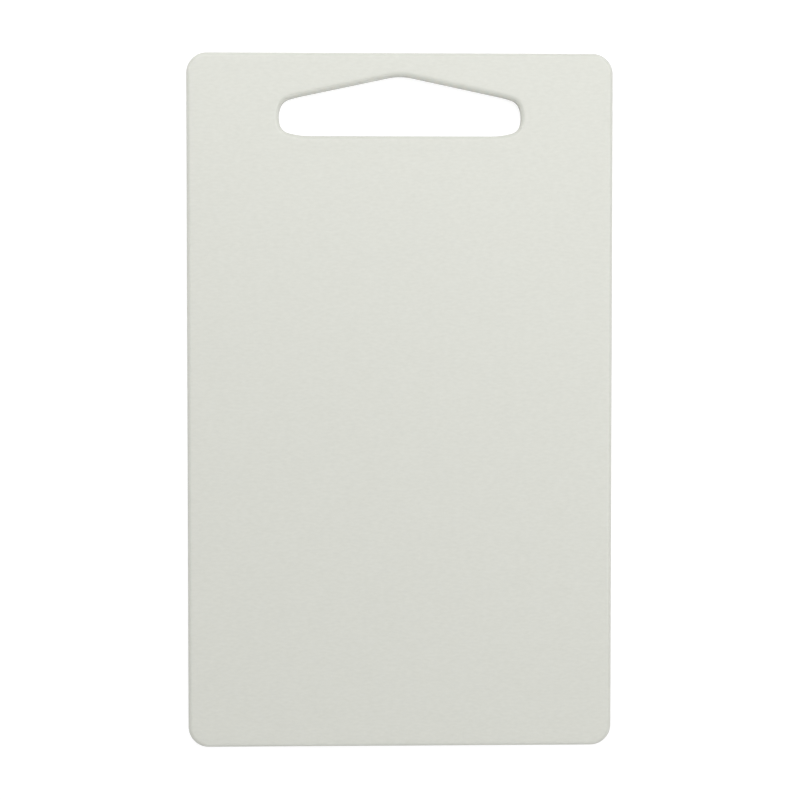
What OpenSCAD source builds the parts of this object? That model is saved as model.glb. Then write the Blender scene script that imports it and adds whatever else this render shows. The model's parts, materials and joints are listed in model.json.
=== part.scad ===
// Cutting board with a peaked hand slot, made from one plate of polyethylene.
// It lies flat. +Z points up out of the cutting face, +Y points to the end with
// the hand slot, and the origin is on the underside, below the board's middle.

/* [Board] */
// Width of the board, along the hand slot
board_w = 203; // [180:1:230]
// Length of the board, along its long sides
board_l = 331.5; // [300:0.5:360]
// Thickness of the plate
board_t = 8; // [8:0.1:13]
// Radius of the four corners, seen from above
corner_r = 9.8; // [5:0.1:20]
// Radius of the rounding along every edge, above and below
edge_r = 2.3; // [1:0.1:3.9]

/* [Hand slot] */
// Width of the slot between its two ends
slot_w = 115.5; // [105:0.5:130]
// Height of the slot below its peak
slot_h = 28.4; // [27:0.1:31]
// Board that is left between its end and the peak of the slot
slot_margin = 11; // [9:0.1:20]
// Slope of the slot's upper edge, each side of the peak, in degrees
slot_slope = 12; // [11:0.1:13]
// Radius of the peak
peak_r = 28; // [15:1:40]

/* [Ends of the slot] */
// Radius where the lower edge starts to turn up
lower_ease_r = 38; // [25:1:45]
// Radius of the lower corner
lower_corner_r = 6; // [5:0.1:7]
// Radius of the upper corner
upper_corner_r = 6.2; // [5:0.1:7]
// Radius where the upper corner runs out into the slope
upper_ease_r = 54; // [35:1:60]

/* [Hidden] */
$fn = 96;

// Largest step of the slot's outline round a bend, in degrees, and the number
// of steps across each rounded edge of the slot.
bend_step = 6;
round_steps = 6;

// How far the slot's cutter passes the two faces of the plate.
pass = 1;

// Height of the slot's lower edge in the board's frame.
slot_y = board_l / 2 - slot_margin - slot_h;

// The right end of the slot is five arcs that run into each other, between the
// lower edge and the slope. Each begins and finishes at one of these directions
// of its outward normal. The middle arc spans the slot's widest place.
turn = [-90, -75, -12.5, 19, 72, 90 - slot_slope];

function unit(a) = [cos(a), sin(a)];
function chord(i) = unit(turn[i + 1]) - unit(turn[i]);

// The middle arc's radius is the one that makes the end meet the slope.
apex = slot_h + peak_r * (1 / cos(slot_slope) - 1);
below = lower_ease_r * chord(0) + lower_corner_r * chord(1);
above = upper_corner_r * chord(3) + upper_ease_r * chord(4);
to_widest = unit(0) - unit(turn[2]);
slope = tan(slot_slope);
end_r = (apex - below.y - above.y - slope * (slot_w / 2 + above.x))
    / (chord(2).y + slope * (chord(2).x - to_widest.x));

end_radii = [lower_ease_r, lower_corner_r, end_r, upper_corner_r, upper_ease_r];
lower_end = [slot_w / 2 - below.x - end_r * to_widest.x, 0];

function centre(i) = i == 0
    ? lower_end + [0, lower_ease_r]
    : centre(i - 1) + (end_radii[i - 1] - end_radii[i]) * unit(turn[i]);

// A station is a point of the outline with the direction of its outward
// normal: [[x, y], direction]. An arc leaves out its first station, which is
// the last one of the arc before it.
function arc_stations(middle, r, from, to) =
    let (steps = ceil((to - from) / bend_step))
    [for (s = [1 : steps])
        let (a = from + (to - from) * s / steps)
        [middle + r * unit(a), a]];

function mirrored(station) = [
    [-station[0].x, station[0].y],
    180 - station[1]
];

right_half = [
    [lower_end, turn[0]],
    for (i = [0 : len(end_radii) - 1])
        each arc_stations(centre(i), end_radii[i], turn[i], turn[i + 1]),
    [[0, slot_h - peak_r] + peak_r * unit(90 - slot_slope), 90 - slot_slope],
    each arc_stations([0, slot_h - peak_r], peak_r, 90 - slot_slope, 90)
];
left_half = [
    for (i = [len(right_half) - 2 : -1 : 0])
        mirrored(right_half[i])
];
slot_outline = concat(right_half, left_half);

// Rounded edge of the slot as [distance outside the outline, height], from
// below the plate to above it.
slot_lower_edge = [
    for (s = [0 : round_steps])
        let (a = 90 * s / round_steps)
        edge_r * [1 - sin(a), 1 - cos(a)]
];
slot_upper_edge = [
    for (i = [round_steps : -1 : 0])
        [slot_lower_edge[i].x, board_t - slot_lower_edge[i].y]
];
slot_edge = [
    [edge_r, -pass],
    each slot_lower_edge,
    each slot_upper_edge,
    [edge_r, board_t + pass]
];

// Rounded edge of the plate, with its X axis pointing out of the board. It
// fills back to the centre of the corner's arc.
module plate_edge() {
    intersection() {
        translate([-corner_r, 0])
            square([corner_r, board_t]);
        union() {
            translate([-corner_r, 0])
                square([corner_r - edge_r, board_t]);
            translate([-corner_r, edge_r])
                square([corner_r, board_t - 2 * edge_r]);
            for (z = [edge_r, board_t - edge_r])
                translate([-edge_r, z])
                    circle(edge_r);
        }
    }
}

// Straight edge strip, centred on the Y axis, with its outer side at x = 0.
module edge_strip(length) {
    translate([0, length / 2, 0])
        rotate([90, 0, 0])
            linear_extrude(length)
                plate_edge();
}

module corner() {
    rotate_extrude(angle = 90)
        translate([corner_r, 0])
            plate_edge();
}

module plate() {
    inner_w = board_w - 2 * corner_r;
    inner_l = board_l - 2 * corner_r;
    translate([-inner_w / 2, -inner_l / 2, 0])
        cube([inner_w, inner_l, board_t]);
    for (side = [0, 1]) {
        rotate(180 * side)
            translate([board_w / 2, 0, 0])
                edge_strip(inner_l);
        rotate(90 + 180 * side)
            translate([board_l / 2, 0, 0])
                edge_strip(inner_w);
        for (end = [0, 1])
            mirror([side, 0, 0])
                mirror([0, end, 0])
                    translate([inner_w / 2, inner_l / 2, 0])
                        corner();
    }
}

// What the slot takes out of the plate, with its lower edge along the X axis.
module slot_cutter() {
    count = len(slot_outline);
    top = len(slot_edge) - 1;
    points = [
        for (edge = slot_edge)
            for (station = slot_outline)
                let (p = station[0] + edge.x * unit(station[1]))
                [p.x, p.y, edge.y]
    ];
    sides = [
        for (j = [0 : top - 1])
            for (i = [0 : count - 1])
                let (next = (i + 1) % count)
                [
                    j * count + i,
                    (j + 1) * count + i,
                    (j + 1) * count + next,
                    j * count + next
                ]
    ];
    underneath = [for (i = [0 : count - 1]) i];
    on_top = [for (i = [count - 1 : -1 : 0]) top * count + i];
    polyhedron(points, concat(sides, [underneath, on_top]));
}

module board() {
    color("#eceee8")
        difference() {
            plate();
            translate([0, slot_y, 0])
                slot_cutter();
        }
}

board();
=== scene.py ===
"""Looks of the cutting board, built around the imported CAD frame.

Lengths are in metres. The board lies flat: +Z is up, +Y points to the end with the hand slot.
"""

import json
import math

import bmesh
import bpy
import numpy as np
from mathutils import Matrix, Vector
from mathutils.geometry import delaunay_2d_cdt


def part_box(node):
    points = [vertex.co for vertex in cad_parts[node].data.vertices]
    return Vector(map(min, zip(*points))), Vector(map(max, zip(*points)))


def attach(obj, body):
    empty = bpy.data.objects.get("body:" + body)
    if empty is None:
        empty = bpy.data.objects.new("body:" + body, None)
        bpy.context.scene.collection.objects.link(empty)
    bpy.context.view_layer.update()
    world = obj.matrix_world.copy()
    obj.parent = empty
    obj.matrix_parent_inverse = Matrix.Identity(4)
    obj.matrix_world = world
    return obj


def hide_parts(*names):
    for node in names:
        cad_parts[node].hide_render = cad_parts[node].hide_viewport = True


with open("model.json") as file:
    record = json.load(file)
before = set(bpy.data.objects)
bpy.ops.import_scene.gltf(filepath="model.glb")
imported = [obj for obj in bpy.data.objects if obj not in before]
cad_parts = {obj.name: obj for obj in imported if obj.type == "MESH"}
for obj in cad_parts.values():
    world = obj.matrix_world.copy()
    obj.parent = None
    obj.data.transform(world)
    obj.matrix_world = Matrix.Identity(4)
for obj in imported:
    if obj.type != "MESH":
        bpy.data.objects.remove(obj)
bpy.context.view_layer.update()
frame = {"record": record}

MM = 0.001

# ---------------------------------------------------------------- sizes of the board
low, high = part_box("board")
WIDTH = high.x - low.x
LENGTH = high.y - low.y
THICKNESS = high.z - low.z
CENTRE = Vector(((low.x + high.x) / 2, (low.y + high.y) / 2, low.z))
CORNER_R = 9.8 * MM
EDGE_R = 2.3 * MM

# Hand slot. Its peak is the record's hanging point.
mounts = {mount["name"]: mount for mount in frame["record"]["mounts"]}
SLOT_PEAK_Y = mounts["hanging_point"]["pos_m"][1]
SLOT_W = 115.5 * MM
SLOT_H = 28.4 * MM
SLOT_SLOPE = math.radians(12)
PEAK_R = 28 * MM

# One end of the slot: the radii of its five arcs, from the lower edge up to the slope, and the
# directions of the outward normal at which they meet. The middle radius is worked out.
LOWER_EASE_R = 38 * MM
LOWER_CORNER_R = 6 * MM
UPPER_CORNER_R = 6.2 * MM
UPPER_EASE_R = 54 * MM
TURN = [math.radians(a) for a in (-90, -75, -12.5, 19, 72)] + [math.pi / 2 - SLOT_SLOPE]

# ---------------------------------------------------------------- fineness of the mesh
GRID = 2.0 * MM
ARC_STEP = math.radians(4)
ROUND_STEPS = 12
GRID_CLEARANCE = 0.6 * GRID
SAME_POINT = 1e-9
QUAD_FLATNESS = math.radians(5)
QUAD_SKEW = math.radians(50)

# A moulded plate's faces sink a little round its slot. The depth is greatest at half the width.
SINK_DEPTH = 0.05 * MM
SINK_WIDTH = 14 * MM

# ---------------------------------------------------------------- surface of the plastic
DARKER = (0.704, 0.712, 0.651, 1)
LIGHTER = (0.792, 0.800, 0.739, 1)
GRAIN_SCALE = 850
GRAIN_STRETCH = (0.45, 1, 1)
MOTTLE_SCALE = 110
MOTTLE_SHARE = 0.12
MOTTLE_RANGE = (0.3, 0.7)
RIM_ROUGHNESS = 0.2
FACE_ROUGHNESS = (0.36, 0.44)
# How upright the surface normal is where the rim's roughness ends and where the face's starts.
RIM_TO_FACE = (0.9, 0.998)

# ---------------------------------------------------------------- light and camera
WHITE = (1, 1, 1, 1)
STAGE_SIZE = 12
BOUNCE_DROP = 0.2 * MM
ROOM_LIGHT = 0.397
BACKDROP = 0.975
CAMERA_DISTANCE = 0.9586
CAMERA_LEAN = (math.radians(-1.94), math.radians(-1.71), 0)
CAMERA_AIM = Vector((0, 0.6, 4)) * MM


def unit(angle):
    return np.array([math.cos(angle), math.sin(angle)])


def arc_stations(middle, radius, start, finish):
    """Points round an arc, each with the direction of its outward normal, without the first."""
    steps = max(1, math.ceil((finish - start) / ARC_STEP))
    angles = [start + (finish - start) * s / steps for s in range(1, steps + 1)]
    return [(middle + radius * unit(a), a) for a in angles]


def line_stations(start, finish, normal):
    """Points along a straight stretch, without the first."""
    steps = max(1, round(float(np.linalg.norm(finish - start)) / GRID))
    return [(start + (finish - start) * s / steps, normal) for s in range(1, steps + 1)]


def mirrored(stations):
    """The same stations on the other side of the Y axis, in the order that keeps the direction."""
    return [(point * [-1, 1], math.pi - normal) for point, normal in reversed(stations)]


def board_outline():
    """The plate's outline at its widest, anticlockwise."""
    inner = np.array([WIDTH / 2 - CORNER_R, LENGTH / 2 - CORNER_R])
    stations = []
    for quarter, side in enumerate([(1, -1), (1, 1), (-1, 1), (-1, -1)]):
        start = (quarter - 1) * math.pi / 2
        middle = inner * side
        if stations:
            arc_start = middle + CORNER_R * unit(start)
            stations += line_stations(stations[-1][0], arc_start, start)
        stations += arc_stations(middle, CORNER_R, start, start + math.pi / 2)
    first = inner * [1, -1] + CORNER_R * unit(-math.pi / 2)
    return stations + line_stations(stations[-1][0], first, -math.pi / 2)


def slot_outline():
    """The slot's outline at its narrowest, anticlockwise, placed in the board."""
    chord = [unit(TURN[i + 1]) - unit(TURN[i]) for i in range(5)]
    apex = SLOT_H + PEAK_R * (1 / math.cos(SLOT_SLOPE) - 1)
    below = LOWER_EASE_R * chord[0] + LOWER_CORNER_R * chord[1]
    above = UPPER_CORNER_R * chord[3] + UPPER_EASE_R * chord[4]
    to_widest = unit(0) - unit(TURN[2])
    slope = math.tan(SLOT_SLOPE)
    end_r = (apex - below[1] - above[1] - slope * (SLOT_W / 2 + above[0])) / (
        chord[2][1] + slope * (chord[2][0] - to_widest[0])
    )
    radii = [LOWER_EASE_R, LOWER_CORNER_R, end_r, UPPER_CORNER_R, UPPER_EASE_R]

    lower_end = np.array([SLOT_W / 2 - below[0] - end_r * to_widest[0], 0])
    middle = lower_end + [0, LOWER_EASE_R]
    end = [(lower_end, TURN[0])]
    for i, radius in enumerate(radii):
        if i:
            middle = middle + (radii[i - 1] - radius) * unit(TURN[i])
        end += arc_stations(middle, radius, TURN[i], TURN[i + 1])

    peak_middle = np.array([0, SLOT_H - PEAK_R])
    slope_top = peak_middle + PEAK_R * unit(TURN[5])
    right = end + line_stations(end[-1][0], slope_top, TURN[5])
    right += arc_stations(peak_middle, PEAK_R, TURN[5], math.pi / 2)
    left = mirrored(right[:-1])
    lower_edge = line_stations(left[-1][0], lower_end, TURN[0])[:-1]
    shift = np.array([0, SLOT_PEAK_Y - SLOT_H])
    return [(point + shift, normal) for point, normal in right + left + lower_edge]


def rounded_edge():
    """The rounded edge as [distance back from the outline into the board, height], top first."""
    quarter = [math.pi / 2 * s / ROUND_STEPS for s in range(ROUND_STEPS + 1)]
    upper = [(EDGE_R * (1 - math.sin(a)), THICKNESS - EDGE_R * (1 - math.cos(a))) for a in quarter]
    lower = [(back, THICKNESS - height) for back, height in reversed(upper)]
    return upper + lower


def inside(points, loop):
    """Which of the points lie inside the closed loop, by counting the edges to their right."""
    x, y = points[:, 0, None], points[:, 1, None]
    x0, y0 = loop[:, 0], loop[:, 1]
    x1, y1 = np.roll(x0, -1), np.roll(y0, -1)
    crosses = (y0 > y) != (y1 > y)
    rise = np.where(y1 == y0, 1, y1 - y0)
    at = x0 + (y - y0) / rise * (x1 - x0)
    return (np.sum(crosses & (x < at), axis=1) % 2) == 1


def distance_to(points, loop):
    """Distance of each point from the nearest point of a closed loop."""
    nearest = np.full(len(points), np.inf)
    for a, b in zip(loop, np.roll(loop, -1, axis=0)):
        along = b - a
        share = np.clip((points - a) @ along / (along @ along), 0, 1)
        gap = points - a - share[:, None] * along
        nearest = np.minimum(nearest, np.hypot(gap[:, 0], gap[:, 1]))
    return nearest


def face_layout(outer, slot):
    """Triangles of one flat face between two loops: the points added inside it, and the faces."""
    xs = np.arange(-WIDTH / 2 + GRID, WIDTH / 2, GRID)
    ys = np.arange(-LENGTH / 2 + GRID, LENGTH / 2, GRID)
    grid = np.array([(x, y) for y in ys for x in xs])
    grid = grid[inside(grid, outer) & ~inside(grid, slot)]
    nearest = np.minimum(distance_to(grid, outer), distance_to(grid, slot))
    grid = grid[nearest > GRID_CLEARANCE]
    points = np.vstack([outer, slot, grid])
    edges = []
    for start, count in ((0, len(outer)), (len(outer), len(slot))):
        edges += [(start + i, start + (i + 1) % count) for i in range(count)]
    found = delaunay_2d_cdt([Vector(p) for p in points], edges, [], 0, SAME_POINT)
    if len(found[0]) != len(points):
        raise RuntimeError("the face's triangles moved or joined some points")
    faces = np.array(found[2])
    middles = points[faces].mean(axis=1)
    return grid, faces[inside(middles, outer) & ~inside(middles, slot)]


def sink(points, slot):
    """How far the face lies below the plate's full thickness."""
    away = distance_to(points, slot) / SINK_WIDTH
    return SINK_DEPTH * np.where(away < 1, np.sin(np.pi * np.minimum(away, 1)) ** 2, 0)


def build_board():
    """The whole board as one closed mesh: rounded edges, slot wall, and both faces."""
    profile = rounded_edge()
    rows = len(profile)
    verts, faces = [], []
    loops = []
    for stations, into_board in ((board_outline(), -1), (slot_outline(), 1)):
        first = len(verts)
        count = len(stations)
        for back, height in profile:
            for point, normal in stations:
                x, y = point + into_board * back * unit(normal)
                verts.append((x, y, height))
        for j in range(rows - 1):
            for i in range(count):
                a = first + j * count + i
                b = first + j * count + (i + 1) % count
                quad = (a, a + count, b + count, b)
                faces.append(quad if into_board < 0 else quad[::-1])
        loops.append((first, count))

    flat = np.array(verts)[:, :2]
    (outer_first, outer_n), (slot_first, slot_n) = loops
    outer = flat[outer_first:outer_first + outer_n]
    slot = flat[slot_first:slot_first + slot_n]
    grid, triangles = face_layout(outer, slot)
    sunk = sink(grid, slot)
    for top in (True, False):
        row = 0 if top else rows - 1
        ids = list(range(outer_first + row * outer_n, outer_first + (row + 1) * outer_n))
        ids += range(slot_first + row * slot_n, slot_first + (row + 1) * slot_n)
        ids += range(len(verts), len(verts) + len(grid))
        heights = THICKNESS - sunk if top else sunk
        verts += [(x, y, z) for (x, y), z in zip(grid, heights)]
        for triangle in triangles:
            corners = [ids[k] for k in triangle]
            faces.append(tuple(corners if top else corners[::-1]))

    mesh = bpy.data.meshes.new("cutting_board")
    mesh.from_pydata([CENTRE + Vector(v) for v in verts], [], faces)
    mesh.validate()
    work = bmesh.new()
    work.from_mesh(mesh)
    bmesh.ops.join_triangles(
        work, faces=work.faces, angle_face_threshold=QUAD_FLATNESS,
        angle_shape_threshold=QUAD_SKEW
    )
    bmesh.ops.recalc_face_normals(work, faces=work.faces)
    for face in work.faces:
        face.smooth = True
    work.to_mesh(mesh)
    work.free()
    board = bpy.data.objects.new("cutting_board", mesh)
    bpy.context.scene.collection.objects.link(board)
    return board


# ---------------------------------------------------------------- material
def linked(tree, kind, source, socket, **settings):
    """A new node with its input socket fed from source."""
    made = tree.nodes.new(kind)
    for name, value in settings.items():
        setattr(made, name, value)
    tree.links.new(source, made.inputs[socket])
    return made


def noise(tree, coordinates, scale):
    """A noise texture's value."""
    made = linked(tree, "ShaderNodeTexNoise", coordinates, "Vector")
    made.inputs["Scale"].default_value = scale
    made.inputs["Detail"].default_value = 2
    return made.outputs["Fac"]


def remap(tree, value, before, after):
    """A value in the range before, turned into one in the range after."""
    made = linked(tree, "ShaderNodeMapRange", value, "Value")
    made.inputs["From Min"].default_value = before[0]
    made.inputs["From Max"].default_value = before[1]
    made.inputs["To Min"].default_value = after[0]
    made.inputs["To Max"].default_value = after[1]
    return made


def polyethylene():
    """Natural-white polyethylene: a fine grain, faint mottling, and faces duller than the rims."""
    material = bpy.data.materials.new("white_polyethylene")
    material.use_nodes = True
    tree = material.node_tree
    shader = tree.nodes["Principled BSDF"]
    shader.inputs["IOR"].default_value = 1.53
    shader.inputs["Subsurface Weight"].default_value = 0.1
    shader.inputs["Subsurface Radius"].default_value = (1.0, 0.95, 0.85)
    shader.inputs["Subsurface Scale"].default_value = 0.5 * MM

    place = tree.nodes.new("ShaderNodeTexCoord")
    stretch = linked(tree, "ShaderNodeMapping", place.outputs["Object"], "Vector")
    stretch.inputs["Scale"].default_value = GRAIN_STRETCH
    grain = noise(tree, stretch.outputs["Vector"], GRAIN_SCALE)
    mottle = noise(tree, place.outputs["Object"], MOTTLE_SCALE)

    blend = linked(tree, "ShaderNodeMix", grain, "A")
    blend.inputs["Factor"].default_value = MOTTLE_SHARE
    tree.links.new(mottle, blend.inputs["B"])
    tint = linked(tree, "ShaderNodeMix", blend.outputs["Result"], "Factor", data_type="RGBA")
    tint.inputs["A"].default_value = DARKER
    tint.inputs["B"].default_value = LIGHTER
    tree.links.new(tint.outputs["Result"], shader.inputs["Base Color"])

    # The rims are smooth. The faces are duller, by an amount that changes a little from place
    # to place, and the roughness goes from one to the other as the surface turns.
    split = linked(tree, "ShaderNodeSeparateXYZ", place.outputs["Normal"], "Vector")
    level = linked(tree, "ShaderNodeMath", split.outputs["Z"], 0, operation="ABSOLUTE")
    face = remap(tree, mottle, MOTTLE_RANGE, FACE_ROUGHNESS)
    rim_and_face = (RIM_ROUGHNESS, FACE_ROUGHNESS[1])
    roughness = remap(tree, level.outputs["Value"], RIM_TO_FACE, rim_and_face)
    tree.links.new(face.outputs["Result"], roughness.inputs["To Max"])
    tree.links.new(roughness.outputs["Result"], shader.inputs["Roughness"])

    bump = linked(tree, "ShaderNodeBump", grain, "Height")
    bump.inputs["Strength"].default_value = 0.1
    bump.inputs["Distance"].default_value = 0.05 * MM
    tree.links.new(bump.outputs["Normal"], shader.inputs["Normal"])
    return material


# ---------------------------------------------------------------- stage
def stage_material(name, grey, glow):
    """A matt grey that also gives off white light."""
    material = bpy.data.materials.new(name)
    material.use_nodes = True
    shader = material.node_tree.nodes["Principled BSDF"]
    shader.inputs["Base Color"].default_value = (grey, grey, grey, 1)
    shader.inputs["Roughness"].default_value = 0.9
    shader.inputs["Emission Color"].default_value = WHITE
    shader.inputs["Emission Strength"].default_value = glow
    return material


def build_floor():
    """A pale floor. It is lit like a light table, so that it stays white round the board."""
    bpy.ops.mesh.primitive_plane_add(size=STAGE_SIZE, location=(0, 0, low.z))
    floor = bpy.context.object
    floor.name = "floor"
    floor.data.materials.append(stage_material("pale_floor", 0.3, 0.82))
    floor.visible_diffuse = False
    floor.visible_glossy = False
    floor.visible_shadow = False


def build_bounce():
    """What the floor gives back to the board's rounded edges. The camera doesn't see it."""
    bpy.ops.mesh.primitive_plane_add(size=STAGE_SIZE, location=(0, 0, low.z - BOUNCE_DROP))
    bounce = bpy.context.object
    bounce.name = "floor_bounce"
    bounce.data.materials.append(stage_material("bounce", 0.85, 0))
    bounce.visible_camera = False


def softbox(name, azimuth, elevation, distance, size, power):
    """A square soft light that faces the board. Azimuth is from +X towards +Y, in degrees."""
    data = bpy.data.lights.new(name, "AREA")
    data.shape = "SQUARE"
    data.size = size
    data.energy = power
    light = bpy.data.objects.new(name, data)
    across, up = math.radians(azimuth), math.radians(elevation)
    way = Vector((math.cos(across) * math.cos(up), math.sin(across) * math.cos(up), math.sin(up)))
    light.location = CENTRE + way * distance
    light.rotation_euler = way.to_track_quat("Z", "Y").to_euler()
    bpy.context.scene.collection.objects.link(light)


def build_lights():
    """Two lights overhead, six softboxes to the sides and back, and a broad low one in front."""
    softbox("overhead", azimuth=50, elevation=65, distance=1.2, size=0.9, power=1.3)
    softbox("overhead_back", azimuth=90, elevation=67, distance=1.2, size=0.5, power=1.25)
    softbox("upper_right", azimuth=32, elevation=38, distance=1.3, size=0.25, power=1.55)
    softbox("upper_right_back", azimuth=55, elevation=45, distance=1.3, size=0.4, power=1.4)
    softbox("right", azimuth=0, elevation=58, distance=1.3, size=0.4, power=1.95)
    softbox("upper_left", azimuth=118, elevation=40, distance=1.3, size=0.25, power=0.8)
    softbox("upper_left_near", azimuth=115, elevation=40, distance=0.8, size=0.3, power=0.52)
    softbox("left", azimuth=150, elevation=31, distance=1.3, size=0.25, power=1.65)
    softbox("low_front", azimuth=275, elevation=26, distance=1.3, size=0.9, power=2.3)


def build_world():
    """An evenly bright room, with a backdrop of its own for what the camera sees directly."""
    world = bpy.data.worlds.new("studio")
    world.use_nodes = True
    tree = world.node_tree
    room = tree.nodes["Background"]
    room.inputs["Color"].default_value = WHITE
    room.inputs["Strength"].default_value = ROOM_LIGHT
    backdrop = tree.nodes.new("ShaderNodeBackground")
    backdrop.inputs["Color"].default_value = WHITE
    backdrop.inputs["Strength"].default_value = BACKDROP
    path = tree.nodes.new("ShaderNodeLightPath")
    mix = tree.nodes.new("ShaderNodeMixShader")
    tree.links.new(path.outputs["Is Camera Ray"], mix.inputs["Fac"])
    tree.links.new(room.outputs["Background"], mix.inputs[1])
    tree.links.new(backdrop.outputs["Background"], mix.inputs[2])
    tree.links.new(mix.outputs["Shader"], tree.nodes["World Output"].inputs["Surface"])
    bpy.context.scene.world = world


def build_camera():
    """Almost straight above the board, a little towards its slot end and its left side."""
    data = bpy.data.cameras.new("camera")
    data.sensor_width = 36
    data.lens = 90
    data.clip_start = 0.01
    data.clip_end = 50
    camera = bpy.data.objects.new("camera", data)
    camera.rotation_euler = CAMERA_LEAN
    sight = camera.rotation_euler.to_matrix() @ Vector((0, 0, -1))
    camera.location = CENTRE + CAMERA_AIM - sight * CAMERA_DISTANCE
    bpy.context.scene.collection.objects.link(camera)
    bpy.context.scene.camera = camera


# ---------------------------------------------------------------- make everything
bpy.context.scene.view_settings.view_transform = "Standard"
build_camera()

board = build_board()
board.data.materials.append(polyethylene())
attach(board, "root")
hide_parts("board")

build_floor()
build_bounce()
build_world()
build_lights()
